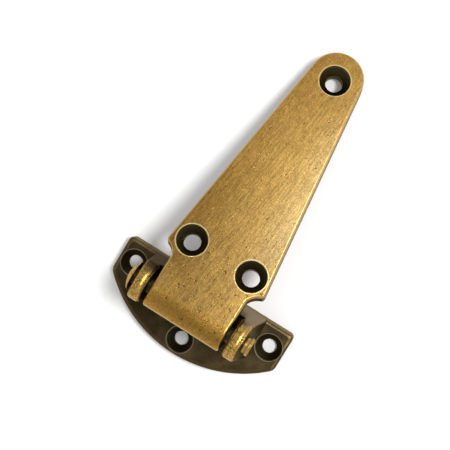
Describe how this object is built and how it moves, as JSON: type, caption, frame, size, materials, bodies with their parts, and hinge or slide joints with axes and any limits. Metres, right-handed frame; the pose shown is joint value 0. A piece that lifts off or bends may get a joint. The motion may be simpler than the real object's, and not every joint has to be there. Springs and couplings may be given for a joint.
{
  "type": "icebox hinge",
  "caption": "Offset strap hinge for an icebox door: a tapered strap with a round tip turns on a headed pin in the tall seat of a half-oval frame leaf; both leaves have sunk screw holes.",
  "frame": {"origin": "on the frame leaf's mounting face, straight under the middle of the pin's axis", "axes": "+X along the pin, +Y from the frame leaf towards the strap's tip, +Z out of the mounting face"},
  "size_m": [0.0634, 0.113, 0.0321],
  "materials": {
    "frame_brass": "antique, dark patina",
    "strap_brass": "antique, satin",
    "pin_brass": "antique, satin"
  },
  "bodies": {
    "frame": {"frame_leaf": "frame_brass", "hinge_pin": "pin_brass"},
    "strap": {"strap_leaf": "strap_brass"}
  },
  "joints": [
    {"name": "strap_swing", "type": "hinge", "parent": "frame", "child": "strap", "pos_m": [0, 0, 0.0254], "axis": [1, 0, 0], "range_deg": [-2, 195]}
  ]
}
